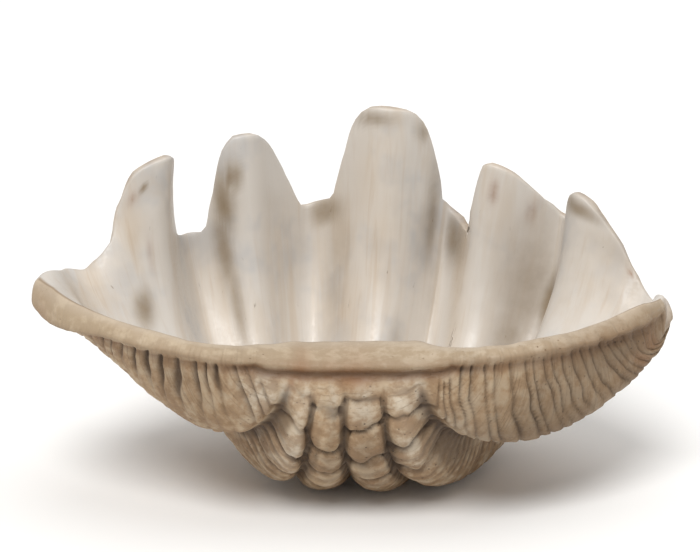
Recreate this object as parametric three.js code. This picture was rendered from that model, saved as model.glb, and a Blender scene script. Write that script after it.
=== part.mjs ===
// One valve of a giant clam, Tridacna gigas, lying on its rounded outside with the hollow side up.
// Millimetres, +Z up. X runs along the hinge and Y from the hinge at the front to the fingers at the
// back. The origin is on the floor, under the middle of the shell's bounding box.
//
// A clam grows its shell outwards from the hinge, and this model does the same. Growth lines leave the
// hinge side by side, sweep under the bowl and climb to the edge. The place across the fan of lines is
// called fan: 0 and ribCount are the two front rims, the other whole numbers are the furrows between
// the ribs, and the halves are the crests of the ribs. A furrow ends in a finger that stands above the
// edge, and a rib ends in the notch between two fingers.
import * as THREE from 'three';

const ribCount = 6;
const columnsPerRib = 14;        // mesh cells across one rib
const rowCount = 26;             // mesh cells from the hinge to the edge
const restingDepth = 4.5;        // how far the lowest ribs are worn flat where the shell rests

// Growth lines as cubic curves: where each leaves the hinge, its two handles, and where it would end
// if no notch cut it short. The lines between these are blended.
const growthLines = [
  { fan: 0.0, hinge: [-80, -163, 157], neck: [-140, -168, 160], belly: [-248, -125, 162], edge: [-290, -34, 186] },
  { fan: 0.5, hinge: [-64, -165, 155], neck: [-84, -172, 50], belly: [-214, -98, 98], edge: [-266, 46, 198] },
  { fan: 1.0, hinge: [-48, -165, 154], neck: [-60, -166, 10], belly: [-232, 95, 20], edge: [-206, 108, 288] },
  { fan: 1.5, hinge: [-34, -165, 153], neck: [-44, -168, -48], belly: [-136, 165, -30], edge: [-166, 155, 296] },
  { fan: 2.0, hinge: [-20, -165, 153], neck: [-26, -166, -56], belly: [-104, 200, -78], edge: [-116, 185, 296] },
  { fan: 3.0, hinge: [0, -165, 153], neck: [-12, -166, -62], belly: [34, 218, -81], edge: [44, 206, 320] },
  { fan: 4.0, hinge: [34, -165, 153], neck: [26, -166, -56], belly: [130, 195, -78], edge: [160, 170, 270] },
  { fan: 4.5, hinge: [48, -165, 153], neck: [44, -166, -24], belly: [190, 155, -86], edge: [208, 134, 268] },
  { fan: 5.0, hinge: [64, -165, 154], neck: [66, -166, 10], belly: [248, 85, 20], edge: [252, 92, 252] },
  { fan: 5.5, hinge: [78, -165, 155], neck: [96, -172, 46], belly: [276, -95, 62], edge: [300, 12, 182] },
  { fan: 6.0, hinge: [92, -163, 157], neck: [142, -168, 160], belly: [244, -125, 156], edge: [296, -40, 168] },
];

// Fingers: how far across the fan each reaches down to the notch on its left and right, and how
// squarely it stands there (1 is a plain slope, 2 is a thumb with steep sides).
const fingers = [
  { fan: 0.94, left: 0.17, leftSquareness: 1.7, right: 0.37, rightSquareness: 1.9 },
  { fan: 2, left: 0.31, leftSquareness: 1.5, right: 0.46, rightSquareness: 1.4 },
  { fan: 3, left: 0.34, leftSquareness: 2.2, right: 0.40, rightSquareness: 2.2 },
  { fan: 4, left: 0.13, leftSquareness: 2.0, right: 0.50, rightSquareness: 0.95 },
  { fan: 5, left: 0.22, leftSquareness: 1.2, right: 0.44, rightSquareness: 0.95 },
];
const notchDepths = [47, 101, 97, 84, 50, 50];   // how much each rib's growth lines are cut short
const uncutCorner = { fans: 0.35, reach: 0.4 };  // no notch this close to the front rims

// The wall is folded in at the furrows and out at the ribs. The outside keeps its folds all the way to
// the hinge, with broad ribs and narrow grooves. The inside is smooth near the hinge.
const outerFold = { atHinge: 6, atEdge: 25, fullGrowth: 0.9, power: 1.8, starts: 0.14 };
const innerFold = { atHinge: 0.5, atEdge: 27, fullGrowth: 0.9, power: 0.8, starts: 0.12 };
const grooveSharpness = { atHinge: 0.24, atEdge: 0.95, starts: 0.15, besideSides: 0.4, sideReach: 0.6 };
const sideFold = { fans: [0, 0.25, 0.5, 1, 5, 5.5, 5.75, 6], shares: [0, 0.2, 0.42, 1, 1, 0.42, 0.2, 0] };

// The outside hangs lower towards the two ends of the front rims: all the way up to the left rim, but
// a little under the right one, whose edge stays thin.
const leftTip = { swell: 14, fanReach: 0.9, growthStart: 0.5, growthReach: 0.4 };
const rightTip = { swell: 26.6, underRim: 0.16, fanReach: 0.7, growthStart: 0.65, growthReach: 0.35 };
const swellDirection = new THREE.Vector3(0, -0.3, -1);

const thickness = { atEdge: 11, atHinge: 52, frontRim: 20 };
const thickening = { sideReach: 0.26, middleReach: 0.45, middleFans: 1.5, power: 1.5 };
const frontRim = { fans: 0.4, hingeReach: 0.3, tipEnds: 1.08, tipReach: 0.2 };   // where it is thicker
const hingeDirection = new THREE.Vector3(0, 1, 0.16).normalize();        // how the hinge plate lies
const hingeReach = 0.22;
const rimLean = { lift: 0.25, fans: 0.35, endReach: 0.2 };               // the front rims lean up
const tipDirection = new THREE.Vector3(0.3, 0, 1);   // mirrored at the right tip
const tipTurn = { growthStart: 0.75, growthReach: 0.2, fans: 0.35 };
const rimRoundness = 0.3;        // how far the rim bulges, as a share of its thickness

const smooth = (value) => THREE.MathUtils.smoothstep(value, 0, 1);
const clamp01 = (value) => THREE.MathUtils.clamp(value, 0, 1);
const mix = THREE.MathUtils.lerp;

// A smooth curve through the values at the keys, which need not be evenly spaced.
function blend(keys, values, at) {
  const last = keys.length - 1;
  const slope = (i) => (values[i + 1] - values[i]) / (keys[i + 1] - keys[i]);
  const tangent = (i) => {
    if (i === 0) return slope(0);
    if (i === last) return slope(last - 1);
    const before = keys[i] - keys[i - 1];
    const after = keys[i + 1] - keys[i];
    return (slope(i - 1) * after + slope(i) * before) / (before + after);
  };
  let i = 0;
  while (i < last - 1 && at >= keys[i + 1]) i += 1;
  const span = keys[i + 1] - keys[i];
  const t = (at - keys[i]) / span;
  return (1 + 2 * t) * (1 - t) ** 2 * values[i]
    + t * (1 - t) ** 2 * span * tangent(i)
    + t * t * (3 - 2 * t) * values[i + 1]
    + t * t * (t - 1) * span * tangent(i + 1);
}

// The growth line at a place across the fan.
function growthLine(fan) {
  const fans = growthLines.map((line) => line.fan);
  const point = (name) => new THREE.Vector3(
    ...[0, 1, 2].map((axis) => blend(fans, growthLines.map((line) => line[name][axis]), fan)),
  );
  return new THREE.CubicBezierCurve3(point('hinge'), point('neck'), point('belly'), point('edge'));
}

// How much of a growth line's length the notches take off its end.
function notchCut(fan) {
  let share = 1;
  for (const finger of fingers) {
    const onLeft = fan < finger.fan;
    const reach = onLeft ? finger.left : finger.right;
    const squareness = onLeft ? finger.leftSquareness : finger.rightSquareness;
    const away = clamp01(Math.abs(fan - finger.fan) / reach);
    share = Math.min(share, smooth(away ** squareness));
  }
  const fromCorner = Math.min(fan, ribCount - fan);
  const rib = Math.min(Math.floor(fan), ribCount - 1);
  return notchDepths[rib] * share * smooth((fromCorner - uncutCorner.fans) / uncutCorner.reach);
}

function linear(keys, values, at) {
  const i = Math.max(1, keys.findIndex((key) => key >= at));
  return mix(values[i - 1], values[i], (at - keys[i - 1]) / (keys[i] - keys[i - 1]));
}

// Height of the fold: inwards in the furrows, outwards on the ribs.
function foldHeight(fold, wave, fan, growth, start) {
  const grown = clamp01((growth - start) / (fold.fullGrowth - start)) ** fold.power;
  return mix(fold.atHinge, fold.atEdge, grown) * wave * linear(sideFold.fans, sideFold.shares, fan);
}

function outerFoldHeight(fan, growth) {
  const broadened = smooth((growth - grooveSharpness.starts) / (1 - grooveSharpness.starts));
  const fromCorner = Math.min(fan, ribCount - fan);
  const besideSides = clamp01(1 - Math.abs(fromCorner - 1) / grooveSharpness.sideReach);
  const sharpness = mix(grooveSharpness.atHinge, grooveSharpness.atEdge, broadened)
    + grooveSharpness.besideSides * besideSides * (1 - broadened);
  const wave = 1 - 2 * Math.abs(Math.sin(Math.PI * fan)) ** (2 * sharpness);
  const fullHeight = foldHeight(outerFold, wave, fan, growth, 0);
  const flatBand = outerFold.atHinge * (1 - smooth(growth / outerFold.starts));
  return fullHeight - flatBand * wave * linear(sideFold.fans, sideFold.shares, fan);
}

// How far the outside hangs lower near the ends of the front rims.
function tipSwell(fan, growth) {
  const fromRight = ribCount - fan;
  const underLeft = 1 - smooth(fan / leftTip.fanReach);
  const underRight = smooth(fromRight / rightTip.underRim)
    * (1 - smooth((fromRight - rightTip.underRim) / rightTip.fanReach));
  return leftTip.swell * underLeft * smooth((growth - leftTip.growthStart) / leftTip.growthReach)
    + rightTip.swell * underRight * smooth((growth - rightTip.growthStart) / rightTip.growthReach);
}

function innerFoldHeight(fan, growth) {
  const wave = 1 - 2 * Math.sin(Math.PI * fan) ** 2;
  return foldHeight(innerFold, wave, fan, growth, innerFold.starts);
}

function wallThickness(fan, along) {
  const fromCorner = Math.min(fan, ribCount - fan);
  const towardsMiddle = smooth(fromCorner / thickening.middleFans);
  const reach = mix(thickening.sideReach, thickening.middleReach, towardsMiddle);
  const towardsHinge = clamp01(1 - along / reach) ** thickening.power;
  const onFrontRim = clamp01(1 - fromCorner / frontRim.fans) * clamp01(along / frontRim.hingeReach)
    * clamp01((frontRim.tipEnds - along) / frontRim.tipReach);
  return mix(thickness.atEdge, thickness.atHinge, towardsHinge)
    + (thickness.frontRim - thickness.atEdge) * onFrontRim;
}

// The direction from the outer to the inner surface: square to the wall, turned to lie along the hinge
// plate near the hinge, leaned up at the front rims and turned straight up at their tips.
function wallDirection(normal, fan, along, growth) {
  const fromCorner = Math.min(fan, ribCount - fan);
  const direction = normal.clone();
  const onRim = smooth(1 - fromCorner / rimLean.fans);
  direction.z += rimLean.lift * onRim * smooth((1 - along) / rimLean.endReach);
  direction.normalize().lerp(hingeDirection, smooth(1 - along / hingeReach)).normalize();
  const towardsTip = tipDirection.clone();
  if (fan > ribCount / 2) towardsTip.x *= -1;
  const atTip = smooth((growth - tipTurn.growthStart) / tipTurn.growthReach)
    * (1 - smooth(fromCorner / tipTurn.fans));
  return direction.lerp(towardsTip.normalize(), atTip).normalize();
}

// Unit normals of a grid of points, pointing into the bowl.
function gridNormals(grid) {
  const lastColumn = grid.length - 1;
  const lastRow = grid[0].length - 1;
  return grid.map((column, i) => column.map((_, j) => {
    const across = grid[Math.min(i + 1, lastColumn)][j].clone().sub(grid[Math.max(i - 1, 0)][j]);
    const along = grid[i][Math.min(j + 1, lastRow)].clone().sub(grid[i][Math.max(j - 1, 0)]);
    return across.cross(along).normalize();
  }));
}

// The three grids of the wall, column by column across the fan: middle, outer and inner surface.
function wallGrids() {
  const columnCount = ribCount * columnsPerRib;
  const fans = Array.from({ length: columnCount + 1 }, (_, i) => (ribCount * i) / columnCount);
  const alongs = Array.from({ length: rowCount + 1 }, (_, j) => j / rowCount);
  const keptShares = [];
  const middle = fans.map((fan, i) => {
    const line = growthLine(fan);
    keptShares[i] = 1 - notchCut(fan) / line.getLength();
    return alongs.map((along) => line.getPointAt(along * keptShares[i]));
  });
  const middleNormals = gridNormals(middle);
  const folded = (heightAt) => middle.map((column, i) => column.map((point, j) => {
    const growth = alongs[j] * keptShares[i];
    return point.clone().addScaledVector(middleNormals[i][j], heightAt(fans[i], growth));
  }));
  const outer = folded(outerFoldHeight);
  outer.forEach((column, i) => column.forEach((point, j) => {
    point.addScaledVector(swellDirection, tipSwell(fans[i], alongs[j] * keptShares[i]));
  }));
  const inner = folded(innerFoldHeight);
  const innerNormals = gridNormals(inner);
  inner.forEach((column, i) => column.forEach((point, j) => {
    const growth = alongs[j] * keptShares[i];
    const direction = wallDirection(innerNormals[i][j], fans[i], alongs[j], growth);
    point.addScaledVector(direction, wallThickness(fans[i], alongs[j]));
  }));
  return { outer, inner };
}

// Wear the lowest ribs flat, so that the shell rests on them.
function wearFlat(grid) {
  const lowest = Math.min(...grid.flat().map((point) => point.z));
  for (const point of grid.flat()) point.z = Math.max(point.z, lowest + restingDepth);
}

// Places round the edge of a grid, in order, each with its neighbour one step in from the edge.
function borderPlaces(columns, rows) {
  const places = [];
  for (let i = 0; i < columns; i += 1) places.push([i, 0]);
  for (let j = 0; j < rows; j += 1) places.push([columns, j]);
  for (let i = columns; i > 0; i -= 1) places.push([i, rows]);
  for (let j = rows; j > 0; j -= 1) places.push([0, j]);
  const stepIn = (value, last) => Math.min(Math.max(value, 1), last - 1);
  return places.map(([i, j]) => ({ i, j, inI: stepIn(i, columns), inJ: stepIn(j, rows) }));
}

// One closed surface: the outer and inner grids, joined round the border by a rounded rim.
function closedWall({ outer, inner }) {
  const columns = outer.length - 1;
  const rows = outer[0].length - 1;
  const points = [];
  const triangles = [];
  const add = (point) => points.push(point) - 1;
  const outerIndex = outer.map((column) => column.map(add));
  const innerIndex = inner.map((column) => column.map(add));
  const quad = (a, b, c, d) => triangles.push(a, b, c, a, c, d);
  for (let i = 0; i < columns; i += 1) {
    for (let j = 0; j < rows; j += 1) {
      quad(outerIndex[i][j], outerIndex[i][j + 1], outerIndex[i + 1][j + 1], outerIndex[i + 1][j]);
      quad(innerIndex[i][j], innerIndex[i + 1][j], innerIndex[i + 1][j + 1], innerIndex[i][j + 1]);
    }
  }
  const border = borderPlaces(columns, rows);
  const crestIndex = border.map(({ i, j, inI, inJ }) => {
    const outwards = outer[i][j].clone().sub(outer[inI][inJ]).normalize()
      .add(inner[i][j].clone().sub(inner[inI][inJ]).normalize()).normalize();
    const bulge = rimRoundness * thickness.frontRim;
    const width = Math.min(outer[i][j].distanceTo(inner[i][j]) / thickness.frontRim, 1);
    return add(outer[i][j].clone().lerp(inner[i][j], 0.5).addScaledVector(outwards, bulge * width));
  });
  border.forEach(({ i, j }, k) => {
    const next = (k + 1) % border.length;
    const { i: nextI, j: nextJ } = border[next];
    quad(outerIndex[i][j], outerIndex[nextI][nextJ], crestIndex[next], crestIndex[k]);
    quad(crestIndex[k], crestIndex[next], innerIndex[nextI][nextJ], innerIndex[i][j]);
  });
  return { points, triangles };
}

function shellGeometry() {
  const grids = wallGrids();
  wearFlat(grids.outer);
  const { points, triangles } = closedWall(grids);
  const geometry = new THREE.BufferGeometry().setFromPoints(points);
  geometry.setIndex(triangles);
  geometry.computeBoundingBox();
  const centre = geometry.boundingBox.getCenter(new THREE.Vector3());
  geometry.translate(-centre.x, -centre.y, -geometry.boundingBox.min.z);
  geometry.computeVertexNormals();
  return geometry;
}

const aragonite = new THREE.MeshStandardMaterial({ color: 0xd2c8bb, roughness: 0.5, metalness: 0 });
const shell = new THREE.Mesh(shellGeometry(), aragonite);
shell.name = 'shell';

const clamShell = new THREE.Group();
clamShell.add(shell);

export default clamShell;
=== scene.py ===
import math

import bpy
import numpy as np
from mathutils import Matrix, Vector
from mathutils.kdtree import KDTree


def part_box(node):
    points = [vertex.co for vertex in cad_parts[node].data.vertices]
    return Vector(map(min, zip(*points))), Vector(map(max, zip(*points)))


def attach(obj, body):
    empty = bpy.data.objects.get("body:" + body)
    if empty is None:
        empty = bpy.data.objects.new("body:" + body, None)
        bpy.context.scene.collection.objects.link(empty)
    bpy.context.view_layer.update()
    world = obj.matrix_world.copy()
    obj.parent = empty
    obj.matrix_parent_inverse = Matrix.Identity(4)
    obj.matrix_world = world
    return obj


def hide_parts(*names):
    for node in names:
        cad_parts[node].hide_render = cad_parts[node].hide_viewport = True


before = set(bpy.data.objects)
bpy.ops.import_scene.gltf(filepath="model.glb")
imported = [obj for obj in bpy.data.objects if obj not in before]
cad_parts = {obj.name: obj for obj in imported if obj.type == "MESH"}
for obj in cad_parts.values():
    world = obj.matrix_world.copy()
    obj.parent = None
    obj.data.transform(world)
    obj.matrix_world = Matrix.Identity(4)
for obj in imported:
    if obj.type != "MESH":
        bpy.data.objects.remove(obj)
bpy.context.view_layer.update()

shellLow, shellHigh = [np.array(corner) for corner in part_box("shell")]


def smooth(value):
    value = np.clip(value, 0, 1)
    return value * value * (3 - 2 * value)


def bump(value, middle, width):
    return np.exp(-((value - middle) / width) ** 2)


def mix(low, high, share):
    return low + (high - low) * share


def unit(vectors):
    return vectors / np.maximum(np.linalg.norm(vectors, axis=-1, keepdims=True), 1e-9)


def softNoise(places, size, seed):
    # smooth lumps about one size across, from -1 to 1, the same each run
    count = 32
    lattice = np.random.default_rng(seed).uniform(-1, 1, (count, count, count))
    scaled = places / size + 100.0
    cell = np.floor(scaled).astype(int)
    share = smooth(scaled - cell)
    total = 0.0
    for dx in (0, 1):
        for dy in (0, 1):
            for dz in (0, 1):
                weight = 1.0
                for axis, step in enumerate((dx, dy, dz)):
                    weight = weight * (share[..., axis] if step else 1 - share[..., axis])
                corner = [(cell[..., axis] + step) % count for axis, step in enumerate((dx, dy, dz))]
                total = total + weight * lattice[corner[0], corner[1], corner[2]]
    return total


def blendCurve(keys, values, at):
    # a smooth curve through the values at unevenly spaced keys
    keys = np.array(keys, float)
    values = np.array(values, float)
    slopes = (values[1:] - values[:-1]) / (keys[1:] - keys[:-1])[:, None]
    spans = (keys[1:] - keys[:-1])[:, None]
    tangents = np.vstack([
        slopes[:1],
        (slopes[:-1] * spans[1:] + slopes[1:] * spans[:-1]) / (spans[:-1] + spans[1:]),
        slopes[-1:],
    ])
    piece = np.clip(np.searchsorted(keys, at, side="right") - 1, 0, len(keys) - 2)
    span = spans[piece]
    t = ((at - keys[piece])[:, None]) / span
    return ((1 + 2 * t) * (1 - t) ** 2 * values[piece]
            + t * (1 - t) ** 2 * span * tangents[piece]
            + t * t * (3 - 2 * t) * values[piece + 1]
            + t * t * (t - 1) * span * tangents[piece + 1])


# the shape of the wall, in millimetres before it is fitted to the frame
wallShape = {
    "ribs": 6,
    "columns": (50, 32, 32, 32, 32, 50),     # mesh cells across each rib
    "ribWidth": 80,
    "steepShare": 0.5,                       # how much the steepness of a notch draws columns to it
    "rows": 192,
    "rowGrowth": 1.25,                       # over 1, the rows lie closer together near the hinge
    # place across the fan: where the growth line leaves the hinge, its two handles, where it ends
    "growthLines": [
        (0.0, (-80, -166, 157), (-140, -168, 160), (-248, -125, 162), (-290, -34, 186)),
        (0.5, (-64, -165, 155), (-84, -172, 50), (-214, -98, 98), (-266, 46, 198)),
        (1.0, (-48, -165, 154), (-60, -166, 10), (-232, 95, 20), (-206, 108, 288)),
        (1.5, (-34, -165, 153), (-44, -168, -48), (-136, 165, -30), (-166, 155, 296)),
        (2.0, (-20, -165, 153), (-26, -166, -56), (-104, 200, -78), (-116, 185, 296)),
        (3.0, (0, -165, 153), (-12, -166, -62), (34, 218, -81), (44, 206, 320)),
        (4.0, (34, -165, 153), (26, -166, -56), (130, 195, -78), (160, 170, 270)),
        (4.5, (48, -165, 153), (44, -166, -24), (190, 155, -86), (208, 134, 268)),
        (5.0, (64, -165, 154), (66, -166, 10), (248, 85, 20), (252, 92, 252)),
        (5.5, (78, -165, 155), (96, -172, 46), (276, -95, 62), (300, 12, 182)),
        (6.0, (92, -166, 157), (142, -168, 160), (244, -125, 156), (296, -40, 168)),
    ],
    # each finger: reach and squareness of its left and right sides
    "fingers": [
        (0.94, 0.17, 1.7, 0.37, 1.9),
        (2, 0.31, 1.5, 0.46, 1.4),
        (3, 0.34, 2.2, 0.40, 2.2),
        (4, 0.13, 2.0, 0.50, 0.95),
        (5, 0.22, 1.2, 0.44, 0.95),
    ],
    "notchDepths": (47, 101, 97, 84, 50, 50),
    "uncutCorner": (0.35, 0.4),              # no notch this close to the front rims
    "outerFold": (6, 25),                    # height of the folds at the hinge and at the edge
    "foldFull": 0.9,                         # growth by which the folds are fully grown
    "outerFoldStart": 0.14,
    "furrowBreadth": 0.4,
    "furrowReach": 0.6,
    # the second groove lies further left near the hinge
    "lobeShift": {"amount": 0.38, "at": 1.9, "width": 0.45, "growthReach": 0.35},
    "foldPower": 1.8,
    "innerFold": (0.5, 27),
    "innerFoldStart": 0.12,
    "innerFoldPower": 0.8,
    "grooveSharpness": (0.24, 0.95),
    "broadenStart": 0.15,
    "sideFold": ((0, 0.25, 0.5, 1, 5, 5.5, 5.75, 6), (0, 0.2, 0.42, 1, 1, 0.42, 0.2, 0)),
    "edgeThickness": 11,
    "hingeThickness": 52,
    "cornerThinning": (0.25, 0.38),          # share taken off it at the left and right corners
    "cornerReach": 1.2,
    "thickening": {"sideReach": 0.26, "middleReach": 0.45, "middleFans": 1.5, "power": 1.5},
    "frontRimThickness": 20,
    "frontRim": {"fans": 0.4, "hingeReach": 0.3, "tipEnds": 1.08, "tipReach": 0.2},
    "rimLean": {"lift": 0.25, "fans": 0.35, "endReach": 0.2},
    "hingeDirection": (0, 1, 0.16),
    "hingeReach": 0.22,
    "tipLean": 0.3,                          # how far the rim tips lean inwards
    "tipTurn": {"growthStart": 0.75, "growthReach": 0.2, "fans": 0.35},
    "leftTip": {"swell": 14, "fans": 0.9, "growthStart": 0.5, "growthReach": 0.4},
    "rightTip": {"swell": 26.6, "underRim": 0.16, "fans": 0.7, "growthStart": 0.65, "growthReach": 0.35},
    "swellDirection": (0, -0.3, -1),
    "restingDepth": 4.5,
}


def columnFans(shape):
    # the columns of each rib lie closer together where the side of a notch is steep
    fans = []
    for rib, count in enumerate(shape["columns"]):
        fine = np.linspace(rib, rib + 1, 401)
        rise = np.diff(notchCut(shape, fine)) * shape["steepShare"]
        travelled = np.concatenate([[0], np.cumsum(np.hypot(np.diff(fine) * shape["ribWidth"], rise))])
        fans.append(np.interp(np.arange(count) / count * travelled[-1], travelled, fine))
    return np.concatenate(fans + [[shape["ribs"]]])


def growthGrid(shape):
    fans = columnFans(shape)
    alongs = np.linspace(0, 1, shape["rows"] + 1) ** shape["rowGrowth"]
    keys = [line[0] for line in shape["growthLines"]]
    hinge, neck, belly, edge = [
        blendCurve(keys, [line[part] for line in shape["growthLines"]], fans)[:, None]
        for part in (1, 2, 3, 4)
    ]
    t = np.linspace(0, 1, 400)[None, :, None]
    lines = (hinge * (1 - t) ** 3 + 3 * neck * t * (1 - t) ** 2
             + 3 * belly * t * t * (1 - t) + edge * t ** 3)
    steps = np.linalg.norm(np.diff(lines, axis=1), axis=2)
    travelled = np.hstack([np.zeros((len(fans), 1)), np.cumsum(steps, axis=1)])
    kept = 1 - notchCut(shape, fans) / travelled[:, -1]
    grid = np.zeros((len(fans), len(alongs), 3))
    for column in range(len(fans)):
        reach = alongs * kept[column] * travelled[column, -1]
        for axis in range(3):
            grid[column, :, axis] = np.interp(reach, travelled[column], lines[column, :, axis])
    fan, along = np.meshgrid(fans, alongs, indexing="ij")
    growth = along * kept[:, None]
    return grid, fan, along, growth


def notchCut(shape, fans):
    # how much of each growth line's length the notches take off
    share = np.ones_like(fans)
    for place, left, leftSquareness, right, rightSquareness in shape["fingers"]:
        onLeft = fans < place
        reach = np.where(onLeft, left, right)
        squareness = np.where(onLeft, leftSquareness, rightSquareness)
        away = np.clip(np.abs(fans - place) / reach, 0, 1)
        share = np.minimum(share, smooth(away ** squareness))
    fromCorner = np.minimum(fans, shape["ribs"] - fans)
    rib = np.minimum(fans.astype(int), shape["ribs"] - 1)
    uncut, reach = shape["uncutCorner"]
    return np.array(shape["notchDepths"])[rib] * share * smooth((fromCorner - uncut) / reach)


def inwardNormals(grid):
    across = np.gradient(grid, axis=0)
    along = np.gradient(grid, axis=1)
    return unit(np.cross(across, along))


def outerFolds(shape, fan, growth, fromCorner):
    # how far the outside is folded: broad ribs and narrow furrows, flat in a band along the hinge
    broadened = smooth((growth - shape["broadenStart"]) / (1 - shape["broadenStart"]))
    besideSides = np.clip(1 - np.abs(fromCorner - 1) / shape["furrowReach"], 0, 1)
    sharpness = (mix(*shape["grooveSharpness"], broadened)
                 + shape["furrowBreadth"] * besideSides * (1 - broadened))
    moved = shape["lobeShift"]
    lobeFan = fan + (moved["amount"] * bump(fan, moved["at"], moved["width"])
                     * (1 - smooth(growth / moved["growthReach"])))
    wave = 1 - 2 * np.abs(np.sin(np.pi * lobeFan)) ** (2 * sharpness)
    atHinge, atEdge = shape["outerFold"]
    grown = np.clip(growth / shape["foldFull"], 0, 1) ** shape["foldPower"]
    height = mix(atHinge, atEdge, grown) - atHinge * (1 - smooth(growth / shape["outerFoldStart"]))
    return height * wave, lobeFan


def tipSwell(shape, fan, growth):
    # how far the outside hangs lower near the ends of the front rims
    left = shape["leftTip"]
    right = shape["rightTip"]
    fromRight = shape["ribs"] - fan
    underLeft = 1 - smooth(fan / left["fans"])
    underRight = (smooth(fromRight / right["underRim"])
                  * (1 - smooth((fromRight - right["underRim"]) / right["fans"])))
    return (left["swell"] * underLeft * smooth((growth - left["growthStart"]) / left["growthReach"])
            + right["swell"] * underRight * smooth((growth - right["growthStart"]) / right["growthReach"]))


def innerFolds(shape, fan, growth):
    wave = 1 - 2 * np.sin(np.pi * fan) ** 2
    start = shape["innerFoldStart"]
    grown = np.clip((growth - start) / (shape["foldFull"] - start), 0, 1) ** shape["innerFoldPower"]
    return mix(*shape["innerFold"], grown) * wave


def wallThickness(shape, fan, along, fromCorner):
    thickening = shape["thickening"]
    frontRim = shape["frontRim"]
    towardsMiddle = smooth(fromCorner / thickening["middleFans"])
    reach = mix(thickening["sideReach"], thickening["middleReach"], towardsMiddle)
    towardsHinge = np.clip(1 - along / reach, 0, 1) ** thickening["power"]
    onFrontRim = (np.clip(1 - fromCorner / frontRim["fans"], 0, 1)
                  * np.clip(along / frontRim["hingeReach"], 0, 1)
                  * np.clip((frontRim["tipEnds"] - along) / frontRim["tipReach"], 0, 1))
    thinning = np.where(fan < shape["ribs"] / 2, *shape["cornerThinning"])
    thinning = thinning * (1 - smooth(fromCorner / shape["cornerReach"]))
    return (mix(shape["edgeThickness"], shape["hingeThickness"] * (1 - thinning), towardsHinge)
            + (shape["frontRimThickness"] - shape["edgeThickness"]) * onFrontRim)


def wallDirection(shape, normals, fan, along, growth, fromCorner):
    # from the outer to the inner surface: square to the wall, along the plate at the hinge, leaned up
    # at the front rims and turned up at their tips
    lean = shape["rimLean"]
    turn = shape["tipTurn"]
    direction = normals.copy()
    onRim = smooth(1 - fromCorner / lean["fans"])
    direction[..., 2] += lean["lift"] * onRim * smooth((1 - along) / lean["endReach"])
    hingeDirection = unit(np.array(shape["hingeDirection"]))
    atHinge = smooth(1 - along / shape["hingeReach"])
    direction = unit(mix(unit(direction), hingeDirection, atHinge[..., None]))
    inwards = np.where(fan < shape["ribs"] / 2, shape["tipLean"], -shape["tipLean"])
    tipDirection = unit(np.stack([inwards, 0 * fan, 1 + 0 * fan], axis=-1))
    atTip = (smooth((growth - turn["growthStart"]) / turn["growthReach"])
             * (1 - smooth(fromCorner / turn["fans"])))
    return unit(mix(direction, tipDirection, atTip[..., None]))


def foldedWalls(shape):
    middle, fan, along, growth = growthGrid(shape)
    normals = inwardNormals(middle)
    fromCorner = np.minimum(fan, shape["ribs"] - fan)
    sideShare = np.interp(fan, *shape["sideFold"])

    folds, lobeFan = outerFolds(shape, fan, growth, fromCorner)
    outer = middle + normals * (folds * sideShare)[..., None]
    outer = outer + np.array(shape["swellDirection"]) * tipSwell(shape, fan, growth)[..., None]

    inner = middle + normals * (innerFolds(shape, fan, growth) * sideShare)[..., None]
    direction = wallDirection(shape, inwardNormals(inner), fan, along, growth, fromCorner)
    inner = inner + direction * wallThickness(shape, fan, along, fromCorner)[..., None]

    worn = outer[..., 2].min() + shape["restingDepth"]
    outer[..., 2] = np.maximum(outer[..., 2], worn)
    both = np.concatenate([outer.reshape(-1, 3), inner.reshape(-1, 3)])
    middleXY = (both.min(axis=0) + both.max(axis=0)) / 2
    shift = np.array([middleXY[0], middleXY[1], worn])
    return (outer - shift) / 1000, (inner - shift) / 1000, fan, growth, lobeFan


# growth frills, lobes and wear of the outside, in metres where it is a depth or a width
outsideRelief = {
    "frillCounts": (22, 26),        # growth frills on the left and right half, 13 to 15 mm apart
    "frillTilts": (0.09, 0.15),     # how far the frills lag behind the growth away from the front rims
    "frillDepth": 0.0042,
    "backFrillDepth": 0.0030,
    "grooveShare": 0.24,            # half the width of a groove, as a share of a frill
    "frillLean": 0.0020,
    "fineFrillGap": 0.018,          # in growth, where frills bunch up beside the lobes
    "fineFrillDepth": 0.0016,
    "lobeCracks": {                 # growth at which each lobe is cracked across
        1: (0.045, 0.105, 0.170, 0.235),
        2: (0.062, 0.130, 0.190, 0.250),
        3: (0.050, 0.095, 0.160, 0.215),
        4: (0.038, 0.082, 0.140, 0.200),
    },
    "crackDepth": 0.0022,
    "crackWidth": 0.0042,           # in growth, like the next two
    "pillowReach": 0.022,
    "arcGap": 0.021,                # fine arcs across the lobes
    "pillowDepth": 0.0024,
    "arcDepth": 0.0007,
    "crustDepth": 0.0024,           # on the right tip
    "darkestGrooveDepth": 0.0036,           # depth at which a groove is at its darkest
    "rimCuts": 8,                   # rows of mesh across the rim
    "rimRoundness": 0.22,           # how far the rim bulges, as a share of its width
    "rimBulge": 0.0040,             # and at most
    "ledgeDepth": 0.0013,           # two shallow ledges along the rim
    "rimRecess": 0.0050,            # the hollow just under the front rim
    "recessAt": 0.0075,
    "recessWidth": 0.0048,
}


def unevenCount(share, count, seed):
    # counts growth lines that are unevenly spaced
    gaps = np.random.default_rng(seed).uniform(0.55, 1.45, count)
    places = np.concatenate([[0], np.cumsum(gaps)]) / gaps.sum()
    return np.interp(share, places, np.arange(count + 1))


def grooveProfile(phase, width):
    # 0 on a frill's flat back and 1 at the bottom of the groove beside it
    part = phase - np.floor(phase)
    toGroove = np.minimum(part, 1 - part)
    return 1 - smooth(toGroove / width), part


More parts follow.
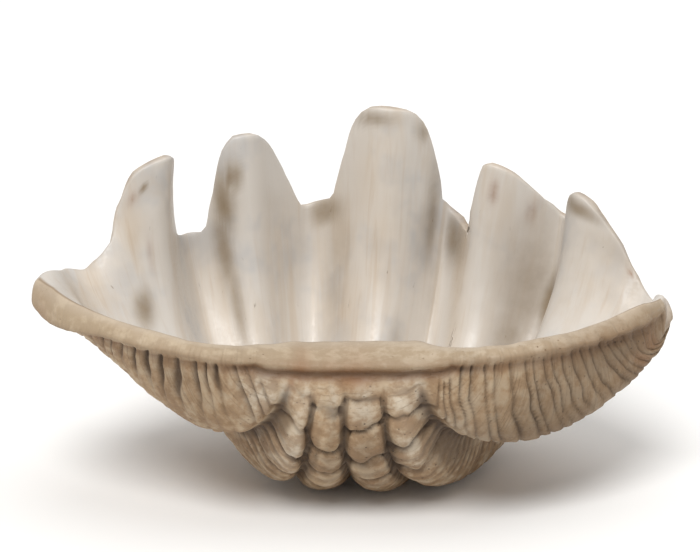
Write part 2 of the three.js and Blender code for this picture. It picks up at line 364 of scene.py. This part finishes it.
def outsideHeights(shape, relief, outer, fan, growth, lobeFan):
    ribs = shape["ribs"]
    fromCorner = np.minimum(fan, ribs - fan)
    sideRim = np.where(fan < ribs / 2, np.linalg.norm(outer - outer[:1], axis=2),
                       np.linalg.norm(outer - outer[-1:], axis=2))
    hingeRim = np.linalg.norm(outer - outer[:, :1], axis=2)
    fromRim = np.minimum(sideRim, hingeRim)
    toRight = smooth((fan - 2) / 2)
    sides = 1 - smooth((fromCorner - 0.85) / 0.25)
    patchy = np.clip(0.9 + 0.55 * softNoise(outer, 0.032, 5), 0.15, 1.4)

    # growth frills, counted apart on the two halves
    warp = 0.016 * softNoise(outer, 0.050, 3) + 0.007 * softNoise(outer, 0.016, 4)
    lag = mix(*relief["frillTilts"], toRight) * smooth(fromCorner / 0.8)
    grown = np.clip((growth - lag + warp + 0.15) / 1.15, 0, 1)
    phase = mix(unevenCount(grown, relief["frillCounts"][0], 11),
                unevenCount(grown, relief["frillCounts"][1], 12), toRight)
    onWedges = smooth((growth - 0.08) / 0.06) * (1 - smooth((growth - 0.42) / 0.1))
    wedges = (1 - toRight) * bump(fan, 0.17, 0.12) * onWedges
    calm = (1 - toRight) * bump(fan, 0.52, 0.17) * smooth((growth - 0.12) / 0.1)
    groove, part = grooveProfile(phase, relief["grooveShare"] + 0.14 * wedges)
    back = (1 - sides) * smooth((growth - 0.30) / 0.14)
    awayFromRim = smooth((fromRim - 0.001) / 0.006)
    awayFromHinge = smooth((growth - 0.02) / 0.05)
    depth = relief["frillDepth"] * sides * awayFromHinge * (1 - 0.72 * calm) * (1 + 0.8 * wedges)
    depth = (depth + relief["backFrillDepth"] * back) * patchy * awayFromRim
    frills = -depth * (0.72 * groove + 0.28 * (1 - part) * (1 - groove))
    lean = relief["frillLean"] * (depth / relief["frillDepth"]) * part * (1 - groove)

    # finer frills bunched up in the furrows beside the lobes
    bunched = (bump(fan, 4.86, 0.24) * bump(growth, 0.29, 0.14)
               + 0.8 * bump(fan, 1.16, 0.22) * bump(growth, 0.22, 0.10))
    fineGroove = grooveProfile((growth - lag + 0.6 * warp) / relief["fineFrillGap"], 0.4)[0]
    fine = -relief["fineFrillDepth"] * np.clip(bunched, 0, 1) * fineGroove * patchy

    # lobes cracked across into pillows
    lobes = np.zeros_like(growth)
    cracks = np.zeros_like(growth)
    crackWarp = 0.014 * softNoise(outer, 0.020, 6) + 0.004 * softNoise(outer, 0.007, 7)
    fadeOut = 1 - smooth((growth - 0.26) / 0.1)
    for rib, places in relief["lobeCracks"].items():
        onRib = ((lobeFan >= rib) & (lobeFan < rib + 1)) * fadeOut
        nearest = np.min([np.abs(growth + crackWarp - place) for place in places], axis=0)
        lobes -= relief["pillowDepth"] * onRib * (1 - smooth(nearest / relief["pillowReach"]))
        cracks += onRib * bump(nearest, 0, relief["crackWidth"])
    arcs = grooveProfile((growth + 0.5 * crackWarp) / relief["arcGap"], 0.42)[0]
    arcs = arcs * fadeOut * (1 - sides) * smooth((growth - 0.1) / 0.08)
    onLobes = (1 - sides) * smooth((growth - 0.028) / 0.03)
    lobes = (lobes - relief["crackDepth"] * cracks * patchy - relief["arcDepth"] * arcs) * onLobes

    # the hollow under the front rim, which the finish also paints darker as painted shade
    recess = bump(fromRim, relief["recessAt"], relief["recessWidth"]) * smooth((1 - growth) / 0.2)
    recess = recess * (1 - 0.55 * sides * smooth(growth / 0.15))
    lumps = 0.0011 * softNoise(outer, 0.018, 8) + 0.0005 * softNoise(outer, 0.007, 9) - 0.0012
    crust = smooth((fan - 5.0) / 0.5) * smooth((0.028 - fromRim) / 0.020) * smooth((growth - 0.2) / 0.3)
    lumps = lumps + relief["crustDepth"] * crust * (softNoise(outer, 0.009, 10) - 0.4)
    height = frills + fine + lobes - relief["rimRecess"] * recess + lumps

    # darker in the grooves and cracks and between the lobes, partly dirt and partly painted shade, and
    # painted shade in the hollow under the rim
    betweenLobes = bump(lobeFan - np.rint(lobeFan), 0, 0.085) * fadeOut
    betweenLobes = betweenLobes * (1 - sides * smooth((0.9 - fromCorner) / 0.1))
    dirtAndShade = (np.clip(-frills / relief["darkestGrooveDepth"], 0, 1) ** 1.5
            + 0.9 * np.clip(-fine / relief["fineFrillDepth"], 0, 1)
            + 0.9 * cracks * onLobes * patchy
            + 0.8 * recess
            + 0.9 * betweenLobes * smooth((growth - 0.03) / 0.04)
            + 0.35 * arcs * onLobes)
    return height, lean, np.clip(dirtAndShade, 0, 1.2), fromRim, recess


def insideHeights(inner):
    return 0.0011 * softNoise(inner, 0.060, 21) + 0.00035 * softNoise(inner, 0.014, 22)


# marks on the shell, stains, rust and pale wear, some of them painted shade, painted shadow and painted
# highlight: place across the fan, growth, their two sizes and how strong they are
shellMarks = {
    "inside": {
        "warm": [
            (2.90, 0.88, 0.13, 0.10, 0.6), (2.97, 0.79, 0.10, 0.10, 0.7), (2.84, 0.66, 0.10, 0.10, 0.8),
            (3.86, 0.78, 0.08, 0.12, 0.9), (3.90, 0.68, 0.09, 0.10, 0.8), (0.86, 0.90, 0.06, 0.09, 0.9),
            (1.62, 0.73, 0.18, 0.12, 0.3), (2.10, 0.76, 0.06, 0.10, 0.3), (2.78, 0.80, 0.06, 0.08, 0.6),
            (0.50, 0.84, 0.40, 0.12, 0.6), (5.20, 0.86, 0.25, 0.12, 0.5),
        ],
        # stains, with painted shade and painted shadow among them: the grey right flanks of the second and
        # fourth fingers, the dark notch and wedge in the channels, the shadow in the channel between the
        # fourth and fifth fingers and the faint shade on the fingers' flanks
        "stainAndShade": [
            (1.92, 0.935, 0.045, 0.025, 1.0), (1.85, 0.89, 0.065, 0.05, 1.0), (1.81, 0.81, 0.06, 0.07, 0.8),
            (1.84, 0.71, 0.05, 0.10, 0.6), (0.83, 0.70, 0.05, 0.04, 0.9), (3.31, 0.85, 0.05, 0.08, 0.6),
            (2.62, 0.84, 0.12, 0.02, 0.8), (2.42, 0.80, 0.12, 0.07, 0.20), (3.68, 0.84, 0.15, 0.035, 0.8),
            (4.52, 0.775, 0.13, 0.045, 1.0), (4.62, 0.72, 0.10, 0.05, 1.0), (4.33, 0.79, 0.20, 0.10, 0.5),
            (4.25, 0.70, 0.12, 0.08, 0.5), (5.00, 0.975, 0.10, 0.018, 0.8), (2.92, 0.985, 0.10, 0.010, 0.7),
            (3.20, 0.97, 0.04, 0.014, 0.6), (3.12, 0.62, 0.05, 0.05, 0.3), (0.92, 0.96, 0.012, 0.008, 1.0),
            (2.70, 0.74, 0.10, 0.12, 0.30), (3.45, 0.76, 0.10, 0.10, 0.30), (0.45, 0.84, 0.35, 0.14, 0.15),
            (5.25, 0.93, 0.20, 0.04, 0.30),
        ],
        "rustAndShade": [
            (4.04, 0.955, 0.022, 0.022, 0.7), (4.25, 0.925, 0.030, 0.020, 0.55),
            (4.78, 0.81, 0.07, 0.025, 1.0), (0.93, 0.81, 0.014, 0.040, 0.5),
            (0.88, 0.950, 0.020, 0.012, 0.7), (5.25, 0.910, 0.012, 0.006, 1.0),
        ],
    },
    "outside": {
        # rust along the hinge, partly painted shade under the hinge rim; the rust on the right front rim is
        # painted shade
        "rustAndShade": [
            (1.30, 0.008, 0.35, 0.014, 0.9), (2.30, 0.010, 0.60, 0.010, 0.7),
            (3.20, 0.014, 0.55, 0.014, 1.0),
            (5.70, 0.78, 0.12, 0.05, 0.6), (1.05, 0.030, 0.10, 0.020, 0.7), (5.85, 0.90, 0.10, 0.06, 0.6),
            (0.05, 0.92, 0.25, 0.07, 0.45),
        ],
        # dark patches on the lobes near the hinge, partly stain and partly painted shade; the large ones
        # over the right side are painted shade
        "stainAndShade": [
            (1.13, 0.12, 0.12, 0.035, 0.8), (4.05, 0.17, 0.12, 0.035, 1.0), (4.85, 0.23, 0.15, 0.10, 1.0),
            (3.00, 0.14, 0.10, 0.07, 0.7), (2.00, 0.17, 0.10, 0.06, 0.7), (2.50, 0.13, 0.30, 0.07, 0.35),
            (3.50, 0.13, 0.30, 0.07, 0.40), (5.50, 0.42, 0.40, 0.28, 0.75), (5.60, 0.75, 0.30, 0.20, 0.65),
            (6.00, 0.70, 0.30, 0.34, 1.00), (0.30, 0.25, 0.30, 0.20, 0.25),
        ],
        # pale worn patches near the hinge, partly painted highlight
        "paleWearAndHighlight": [
            (0.55, 0.07, 0.35, 0.05, 0.9), (0.95, 0.06, 0.20, 0.03, 0.9), (1.45, 0.05, 0.40, 0.035, 0.7),
            (2.55, 0.05, 0.30, 0.03, 0.7), (3.50, 0.05, 0.30, 0.03, 0.8), (4.55, 0.05, 0.35, 0.035, 0.9),
            (4.95, 0.06, 0.20, 0.05, 0.8), (5.30, 0.20, 0.20, 0.08, 0.5), (1.45, 0.15, 0.22, 0.07, 0.8),
            (4.50, 0.14, 0.25, 0.05, 0.6),
        ],
    },
}


def deselectAll():
    for thing in list(bpy.context.selected_objects):
        thing.select_set(False)


def borderOrder(columns, rows):
    order = [(i, 0) for i in range(columns)]
    order += [(columns, j) for j in range(rows)]
    order += [(i, rows) for i in range(columns, 0, -1)]
    order += [(0, j) for j in range(rows, 0, -1)]
    return order


def buildShell():
    shape = wallShape
    relief = outsideRelief
    columns = sum(shape["columns"])
    rows = shape["rows"]
    outer, inner, fan, growth, lobeFan = foldedWalls(shape)
    print("walls worked out", outer.shape)

    height, lean, dirtAndShade, fromRim, recess = outsideHeights(shape, relief, outer, fan, growth, lobeFan)
    outward = -inwardNormals(outer)
    forward = unit(np.gradient(outer, axis=1))
    outer = outer + outward * height[..., None] + forward * lean[..., None]
    inner = inner + inwardNormals(inner) * insideHeights(inner)[..., None]
    outer[..., 2] = np.maximum(outer[..., 2], 0.0)

    # a flat grid is bent into the outer wall
    deselectAll()
    bpy.ops.mesh.primitive_grid_add(x_subdivisions=columns, y_subdivisions=rows, size=2,
                                    location=(0, 0, 0))
    shell = bpy.context.object
    shell.name = "clamValve"
    mesh = shell.data
    count = len(mesh.vertices)
    flat = np.empty(count * 3)
    mesh.vertices.foreach_get("co", flat)
    flat = flat.reshape(-1, 3)
    column = np.rint((flat[:, 0] + 1) / 2 * columns).astype(int)
    row = np.rint((flat[:, 1] + 1) / 2 * rows).astype(int)
    mesh.vertices.foreach_set("co", outer[column, row].ravel())
    mesh.update()
    print("outer wall shaped", count)

    # the wall gets its thickness, and its second side becomes the inside of the bowl
    solid = shell.modifiers.new("wall", "SOLIDIFY")
    solid.thickness = 0.01
    solid.offset = 1
    solid.use_rim = True
    bpy.ops.object.modifier_apply(modifier="wall")
    coords = np.empty(len(mesh.vertices) * 3)
    mesh.vertices.foreach_get("co", coords)
    coords = coords.reshape(-1, 3)
    wanted = outer[column, row]
    firstIsOuter = np.abs(coords[:count] - wanted).max() < np.abs(coords[count:] - wanted).max()
    halves = (slice(0, count), slice(count, 2 * count))
    outerHalf, innerHalf = halves if firstIsOuter else halves[::-1]
    coords[outerHalf] = wanted
    coords[innerHalf] = inner[column, row]
    mesh.vertices.foreach_set("co", coords.ravel())
    mesh.update()
    print("inner wall shaped", len(mesh.vertices))

    # cuts round the rim, then the rim is rounded
    cuts = outsideRelief["rimCuts"]
    bpy.ops.object.mode_set(mode="EDIT")
    bpy.ops.mesh.select_mode(type="EDGE")
    bpy.ops.mesh.select_all(action="DESELECT")
    bpy.ops.object.mode_set(mode="OBJECT")
    ends = np.empty(len(mesh.edges) * 2, int)
    mesh.edges.foreach_get("vertices", ends)
    ends = ends.reshape(-1, 2)
    crossing = (ends[:, 0] < count) != (ends[:, 1] < count)
    mesh.edges.foreach_set("select", crossing)
    bpy.ops.object.mode_set(mode="EDIT")
    bpy.ops.mesh.subdivide_edgering(number_cuts=cuts, interpolation="LINEAR")
    bpy.ops.mesh.select_all(action="DESELECT")
    bpy.ops.object.mode_set(mode="OBJECT")
    print("rim cut", len(mesh.vertices), "vertices")

    total = len(mesh.vertices)
    coords = np.empty(total * 3)
    mesh.vertices.foreach_get("co", coords)
    coords = coords.reshape(-1, 3)
    border = borderOrder(columns, rows)
    borderColumn = np.array([place[0] for place in border])
    borderRow = np.array([place[1] for place in border])
    borderOuter = outer[borderColumn, borderRow]
    borderInner = inner[borderColumn, borderRow]
    inColumn = np.clip(borderColumn, 2, columns - 2)
    inRow = np.clip(borderRow, 2, rows - 2)
    fromInside = unit(borderOuter - outer[inColumn, inRow]) + unit(borderInner - inner[inColumn, inRow])
    lip = (borderOuter + borderInner) / 2
    outwards = unit(np.cross(np.roll(lip, -2, axis=0) - np.roll(lip, 2, axis=0), borderInner - borderOuter))
    outwards *= np.sign(np.median(np.sum(outwards * fromInside, axis=1)))
    outwards = unit(sum(np.roll(outwards, shift, axis=0) for shift in range(-4, 5)))
    tree = KDTree(len(border) * cuts)
    for place in range(len(border)):
        for cut in range(cuts):
            share = (cut + 1) / (cuts + 1)
            tree.insert(mix(borderOuter[place], borderInner[place], share), place * cuts + cut)
    tree.balance()
    rimPlace = np.zeros(total, int)
    rimShare = np.zeros(total)
    for index in range(2 * count, total):
        found = tree.find(coords[index])[1]
        rimPlace[index] = found // cuts
        rimShare[index] = (found % cuts + 1) / (cuts + 1)
    rim = slice(2 * count, total)
    place = rimPlace[rim]
    share = rimShare[rim]
    width = np.linalg.norm(borderInner - borderOuter, axis=1)[place]
    roundShare = (1 - np.cos(np.pi * share)) / 2
    swell = (np.sin(np.pi * share) ** 0.7
             * np.minimum(width * relief["rimRoundness"], relief["rimBulge"]))
    onFront = np.where(borderRow < rows, 1.0, 0.0)[place]
    lipPlaces = mix(borderOuter[place], borderInner[place], share[:, None])
    lumps = 0.0016 * softNoise(lipPlaces, 0.030, 31) + 0.0007 * softNoise(lipPlaces, 0.009, 32)
    ledges = (bump(share + 0.10 * softNoise(lipPlaces * 0.3, 0.012, 33), 0.36, 0.07)
              + 0.7 * bump(share + 0.10 * softNoise(lipPlaces * 0.3, 0.015, 34), 0.70, 0.06))
    lumps = (lumps - relief["ledgeDepth"] * ledges * onFront) * np.sin(np.pi * share) ** 0.5
    coords[rim] = (mix(borderOuter[place], borderInner[place], roundShare[:, None])
                   + outwards[place] * (swell + lumps)[:, None])

    # attributes that the finish reads
    values = {name: np.zeros(total) for name in ("outside", "fan", "growth", "dirtAndShade", "rim", "recess")}
    values["outside"][outerHalf] = 1
    values["outside"][rim] = 1 - share
    values["rim"][rim] = onFront
    nearFront = np.exp(-(fromRim / 0.0022) ** 2)
    values["rim"][outerHalf] = nearFront[column, row]
    values["rim"][innerHalf] = (nearFront * (fromRim < 0.0005))[column, row]
    for half in (outerHalf, innerHalf):
        values["fan"][half] = fan[column, row]
        values["growth"][half] = growth[column, row]
    values["fan"][rim] = fan[borderColumn[place], borderRow[place]]
    values["growth"][rim] = growth[borderColumn[place], borderRow[place]]
    values["dirtAndShade"][outerHalf] = dirtAndShade[column, row]
    values["recess"][outerHalf] = recess[column, row]
    for side, marks in shellMarks.items():
        onSide = values["outside"] if side == "outside" else 1 - values["outside"]
        for kind, spots in marks.items():
            strength = np.zeros(total)
            for atFan, atGrowth, fanSize, growthSize, amount in spots:
                away = (((values["fan"] - atFan) / fanSize) ** 2
                        + ((values["growth"] - atGrowth) / growthSize) ** 2)
                strength = np.maximum(strength, amount * np.exp(-away))
            values.setdefault(kind, np.zeros(total))
            values[kind] = np.maximum(values[kind], strength * onSide)

    # nothing stands outside the frame's box
    low = coords.min(axis=0)
    high = coords.max(axis=0)
    scale = np.minimum((shellHigh - shellLow) / (high - low), 1.0)
    middle = (low + high) / 2
    target = (shellLow + shellHigh) / 2
    coords[:, :2] = (coords[:, :2] - middle[:2]) * scale[:2] + target[:2]
    coords[:, 2] = (coords[:, 2] - low[2]) * scale[2] + shellLow[2]
    mesh.vertices.foreach_set("co", coords.ravel())
    mesh.update()
    for name, numbers in values.items():
        attribute = mesh.attributes.new(name, "FLOAT", "POINT")
        attribute.data.foreach_set("value", numbers.astype(np.float32))

    bpy.ops.object.mode_set(mode="EDIT")
    bpy.ops.mesh.select_all(action="SELECT")
    bpy.ops.mesh.normals_make_consistent(inside=False)
    bpy.ops.object.mode_set(mode="OBJECT")
    bpy.ops.object.shade_smooth()
    deselectAll()
    print("shell built", len(mesh.polygons), "faces")
    return shell


def linearColour(code):
    # sRGB hex to linear
    parts = [int(code[i:i + 2], 16) / 255 for i in (1, 3, 5)]
    return [part / 12.92 if part <= 0.04045 else ((part + 0.055) / 1.055) ** 2.4 for part in parts] + [1.0]


def addNode(tree, kind, settings=None, links=None):
    # one node with its settings and the sockets that feed it
    node = tree.nodes.new(kind)
    for name, value in (settings or {}).items():
        if isinstance(name, int) or name in node.inputs:
            node.inputs[name].default_value = value
        else:
            setattr(node, name, value)
    for name, source in (links or {}).items():
        tree.links.new(source, node.inputs[name])
    return node


shellColours = {
    "nacreless": "#d8d1c8",      # plain inner porcelain
    "bluish": "#c3c1bf",
    "cream": "#cbb9a2",
    "tan": "#b99f80",
    # colour of the specks inside, also the painted shade of the dark patches outside
    "grimeAndShade": "#745f47",
    "shade": "#8a775e",
    # rust colour, also painted shade under the hinge rim and on the right front rim
    "rustAndShade": "#8a5a32",
    "rim": "#ab967b",
    "rimPale": "#c6b7a4",
    "rimDark": "#7f6345",
    "chalk": "#aa8d6b",
    "chalkLight": "#c4b196",
    "chalkDark": "#86694b",
    "groove": "#45321f",
    "bone": "#cfc3b0",
}


def shellFinish():
    # aragonite of a clam shell, grown in layers: porcelain-like and satin inside, where it keeps faint
    # streaks along the growth and stains, some of them painted shade and painted shadow, and chalky, worn
    # and stained brown outside, darker in its grooves, with painted shade under the rim and on the right
    # side and painted highlight on pale patches
    colours = {name: linearColour(code) for name, code in shellColours.items()}
    material = bpy.data.materials.new("clamAragonite")
    material.use_nodes = True
    tree = material.node_tree
    tree.nodes.clear()
    names = ("outside", "fan", "growth", "dirtAndShade", "rim", "recess", "warm", "stainAndShade", "rustAndShade", "paleWearAndHighlight")
    on = {}
    for name in names:
        on[name] = addNode(tree, "ShaderNodeAttribute", {"attribute_name": name}).outputs["Fac"]
    place = addNode(tree, "ShaderNodeTexCoord").outputs["Object"]

    # patterns that follow the growth: streaks run from hinge to edge, lines run across them
    followers = {}
    for name, across, along in (("streaks", 5.5, 2.6), ("fineStreaks", 24.0, 5.0), ("specks", 26.0, 22.0),
                                ("lines", 1.6, 150.0)):
        x = addNode(tree, "ShaderNodeMath", {"operation": "MULTIPLY", 1: across}, {0: on["fan"]})
        y = addNode(tree, "ShaderNodeMath", {"operation": "MULTIPLY", 1: along}, {0: on["growth"]})
        vector = addNode(tree, "ShaderNodeCombineXYZ", {}, {0: x.outputs[0], 1: y.outputs[0]}).outputs[0]
        settings = {"Scale": 1.0, "Detail": 4.0, "Roughness": 0.6, "Distortion": 0.7}
        followers[name] = addNode(tree, "ShaderNodeTexNoise", settings, {"Vector": vector}).outputs["Fac"]

    # patterns in space, with the size of their lumps in millimetres
    lumps = {}
    for name, size, detail in (("clouds", 70, 3), ("mottle", 16, 6), ("grain", 3.5, 4)):
        settings = {"Scale": 1000 / size, "Detail": detail, "Roughness": 0.62}
        lumps[name] = addNode(tree, "ShaderNodeTexNoise", settings, {"Vector": place}).outputs["Fac"]
    pitGap = 7.0
    pits = addNode(tree, "ShaderNodeTexVoronoi", {"Scale": 1000 / pitGap},
                   {"Vector": place}).outputs["Distance"]

    # each mask rises from 0 to 1 between two values of its pattern
    masks = {}
    for name, source, low, high in (
            ("warmStreaks", followers["streaks"], 0.44, 0.70),
            ("fineStreaks", followers["fineStreaks"], 0.50, 0.75),
            ("specks", followers["specks"], 0.70, 0.76), ("cool", lumps["clouds"], 0.46, 0.66),
            ("blotches", lumps["mottle"], 0.44, 0.64), ("darkBlotches", lumps["mottle"], 0.52, 0.36),
            ("pits", pits, 0.17, 0.05), ("clouds", lumps["clouds"], 0.40, 0.62),
            ("lines", followers["lines"], 0.50, 0.70), ("rimOuter", on["outside"], 0.55, 1.0),
            ("rimInner", on["outside"], 0.55, 0.20), ("rimHairline", on["outside"], 0.13, 0.03),
            ("grain", lumps["grain"], 0.35, 0.65)):
        settings = {"interpolation_type": "SMOOTHSTEP", 1: low, 2: high}
        masks[name] = addNode(tree, "ShaderNodeMapRange", settings, {0: source}).outputs[0]

    # products of masks and strengths
    for name, first, second in (
            ("warmPatch", on["warm"], masks["fineStreaks"]), ("stainAndShadePatch", on["stainAndShade"], lumps["mottle"]),
            ("rustAndShadePatch", on["rustAndShade"], lumps["mottle"]), ("palePatch", on["paleWearAndHighlight"], masks["blotches"]),
            ("rimPale", masks["blotches"], on["fan"]), ("pitted", masks["pits"], masks["clouds"])):
        product = addNode(tree, "ShaderNodeMath", {"operation": "MULTIPLY"}, {0: first, 1: second})
        masks[name] = product.outputs[0]
    for name, source, gain in (
            ("warmStreaks", masks["warmStreaks"], 0.45), ("fineStreaks", masks["fineStreaks"], 0.12),
            ("specks", masks["specks"], 0.55), ("cool", masks["cool"], 0.75),
            ("warmWhole", on["warm"], 0.62),
            ("warmPatch", masks["warmPatch"], 0.55), ("stainAndShadeWhole", on["stainAndShade"], 0.8),
            ("stainAndShadePatch", masks["stainAndShadePatch"], 1.2),
            ("rustAndShadePatch", masks["rustAndShadePatch"], 1.45), ("palePatch", masks["palePatch"], 0.8),
            ("paleWhole", on["paleWearAndHighlight"], 0.35),
            ("dirtAndShade", on["dirtAndShade"], 0.88), ("recessDirtAndShade", on["recess"], 0.65), ("pitted", masks["pitted"], 0.8),
            ("lines", masks["lines"], 0.35), ("rimOuter", masks["rimOuter"], 0.5),
            ("rimInner", masks["rimInner"], 0.45), ("rimHairline", masks["rimHairline"], 0.55),
            ("darkBlotches", masks["darkBlotches"], 0.6), ("lightBlotches", masks["blotches"], 0.7),
            ("clouds", masks["clouds"], 0.5), ("rimPale", masks["rimPale"], 0.05)):
        settings = {"operation": "MULTIPLY", "use_clamp": True, 1: gain}
        masks[name] = addNode(tree, "ShaderNodeMath", settings, {0: source}).outputs[0]

    # each side's colour, from the ground colour up
    sides = {}
    for side, ground, layers in (
            ("inside", "nacreless", (("cool", "bluish"), ("warmStreaks", "cream"), ("fineStreaks", "tan"),
                                     ("warmWhole", "cream"), ("warmPatch", "tan"), ("specks", "grimeAndShade"),
                                     # stains, with painted shade and painted shadow on the fingers' flanks
                                     # and in the channels between them
                                     ("stainAndShadeWhole", "shade"), ("stainAndShadePatch", "shade"),
                                     ("rustAndShadePatch", "rustAndShade"))),
            ("outside", "chalk", (("clouds", "chalkDark"), ("lightBlotches", "chalkLight"),
                                  ("darkBlotches", "chalkDark"),
                                  # pale patches, partly wear and partly painted highlight
                                  ("paleWhole", "bone"), ("palePatch", "bone"), ("lines", "chalkDark"),
                                  # painted shade: the stain layers darken the right side and, partly, the
                                  # lobes near the hinge; the recess layer paints shade in the hollow under
                                  # the rim
                                  ("stainAndShadeWhole", "grimeAndShade"), ("stainAndShadePatch", "grimeAndShade"), ("recessDirtAndShade", "rustAndShade"),
                                  # rust, partly painted shade under the hinge rim and on the right front rim
                                  ("rustAndShadePatch", "rustAndShade"),
                                  # darker grooves, cracks and gaps between the lobes, partly dirt and partly
                                  # painted shade, and painted shade in the hollow under the rim
                                  ("dirtAndShade", "groove"), ("pitted", "groove"))),
            ("rim", "rim", (("lightBlotches", "chalkLight"), ("rimPale", "rimPale"),
                            ("rimInner", "rimPale"),
                            ("rimOuter", "rimDark"), ("rimHairline", "rimDark"),
                            # painted shade: the stain and rust layers darken the right end of the rim, along
                            # with real stains and rust
                            ("stainAndShadeWhole", "rimDark"), ("rustAndShadePatch", "rustAndShade"),
                            ("pitted", "rimDark")))):
        colour = addNode(tree, "ShaderNodeRGB").outputs[0]
        colour.default_value = colours[ground]
        for mask, tint in layers:
            colour = addNode(tree, "ShaderNodeMix", {"data_type": "RGBA", 7: colours[tint]},
                             {0: masks[mask], 6: colour}).outputs[2]
        sides[side] = colour
    walls = addNode(tree, "ShaderNodeMix", {"data_type": "RGBA"},
                    {0: on["outside"], 6: sides["inside"], 7: sides["outside"]}).outputs[2]
    colour = addNode(tree, "ShaderNodeMix", {"data_type": "RGBA"},
                     {0: on["rim"], 6: walls, 7: sides["rim"]}).outputs[2]

    # satin inside, dull outside, with the pale patches, partly wear and partly painted highlight, polished
    dull = addNode(tree, "ShaderNodeMapRange", {3: 0.40, 4: 0.66}, {0: on["outside"]}).outputs[0]
    worn = addNode(tree, "ShaderNodeMath", {"operation": "MULTIPLY", 1: -0.24}, {0: on["paleWearAndHighlight"]}).outputs[0]
    rough = addNode(tree, "ShaderNodeMath", {"operation": "ADD"}, {0: dull, 1: worn}).outputs[0]
    uneven = addNode(tree, "ShaderNodeMapRange", {3: -0.06, 4: 0.10}, {0: masks["grain"]}).outputs[0]
    rough = addNode(tree, "ShaderNodeMath", {"operation": "ADD", "use_clamp": True},
                    {0: rough, 1: uneven}).outputs[0]

    # fine relief: growth lines and streaks inside, grain, lines and pits outside
    innerRelief = addNode(tree, "ShaderNodeMath", {"operation": "MULTIPLY", 1: 0.12},
                          {0: followers["fineStreaks"]}).outputs[0]
    outerRelief = addNode(tree, "ShaderNodeMath", {"operation": "SUBTRACT"},
                          {0: lumps["mottle"], 1: masks["pitted"]}).outputs[0]
    outerRelief = addNode(tree, "ShaderNodeMath", {"operation": "SUBTRACT"},
                          {0: outerRelief, 1: masks["lines"]}).outputs[0]
    relief = addNode(tree, "ShaderNodeMix", {"data_type": "FLOAT"},
                     {0: on["outside"], 2: innerRelief, 3: outerRelief}).outputs[0]
    normal = addNode(tree, "ShaderNodeBump", {"Strength": 0.7, "Distance": 0.0016},
                     {"Height": relief}).outputs[0]

    shader = addNode(tree, "ShaderNodeBsdfPrincipled", {"IOR": 1.53},
                     {"Base Color": colour, "Roughness": rough, "Normal": normal})
    addNode(tree, "ShaderNodeOutputMaterial", {}, {0: shader.outputs[0]})
    return material


shell = buildShell()
shell.data.materials.clear()
shell.data.materials.append(shellFinish())
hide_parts("shell")
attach(shell, "root")
print("shell finished")


studio = {
    "floorColour": "#fbfaf8",
    "floorSize": 12,
    "lamps": (                   # where each big soft lamp stands, its spread in degrees, its strength
        ("keyLight", (-0.35, -1.3, 1.9), 30, 2.1),
        ("topLight", (0.5, 0.4, 2.5), 50, 0.7),
    ),
    "skyStrength": 0.42,
    "cameraTarget": (0, -0.044, 0.120),
    "cameraDistance": 2.2,
    "cameraRise": 17,            # degrees above the floor
    "cameraLift": 2.09,          # degrees that it looks above the middle of the shell
    "cameraTurn": 0.124,         # degrees to the left
    "lens": 119.7,
}


def buildStudio():
    bpy.ops.mesh.primitive_plane_add(size=studio["floorSize"], location=(0, 0, 0))
    floor = bpy.context.object
    floor.name = "studioFloor"
    paint = bpy.data.materials.new("palePaint")
    paint.use_nodes = True
    shader = paint.node_tree.nodes["Principled BSDF"]
    shader.inputs["Base Color"].default_value = linearColour(studio["floorColour"])
    shader.inputs["Roughness"].default_value = 0.9
    floor.data.materials.append(paint)

    for name, place, spread, strength in studio["lamps"]:
        lamp = bpy.data.lights.new(name, "SUN")
        lamp.angle = math.radians(spread)
        lamp.energy = strength
        lampObject = bpy.data.objects.new(name, lamp)
        bpy.context.collection.objects.link(lampObject)
        lampObject.location = place
        lampObject.rotation_euler = (-Vector(place)).to_track_quat("-Z", "Y").to_euler()

    world = bpy.data.worlds.new("softSky")
    world.use_nodes = True
    world.node_tree.nodes["Background"].inputs[0].default_value = (1, 1, 1, 1)
    world.node_tree.nodes["Background"].inputs[1].default_value = studio["skyStrength"]
    bpy.context.scene.world = world

    rise = math.radians(studio["cameraRise"])
    back = Vector((0, -math.cos(rise), math.sin(rise)))
    target = Vector(studio["cameraTarget"])
    camera = bpy.data.objects.new("camera", bpy.data.cameras.new("camera"))
    bpy.context.collection.objects.link(camera)
    camera.location = target + back * studio["cameraDistance"]
    tilt = 90 - studio["cameraRise"] + studio["cameraLift"]
    camera.rotation_euler = (math.radians(tilt), 0, math.radians(studio["cameraTurn"]))
    camera.data.lens = studio["lens"]
    camera.data.sensor_width = 36
    camera.data.clip_end = 50
    bpy.context.scene.camera = camera
    bpy.context.scene.view_settings.view_transform = "Standard"
    print("studio built")


buildStudio()
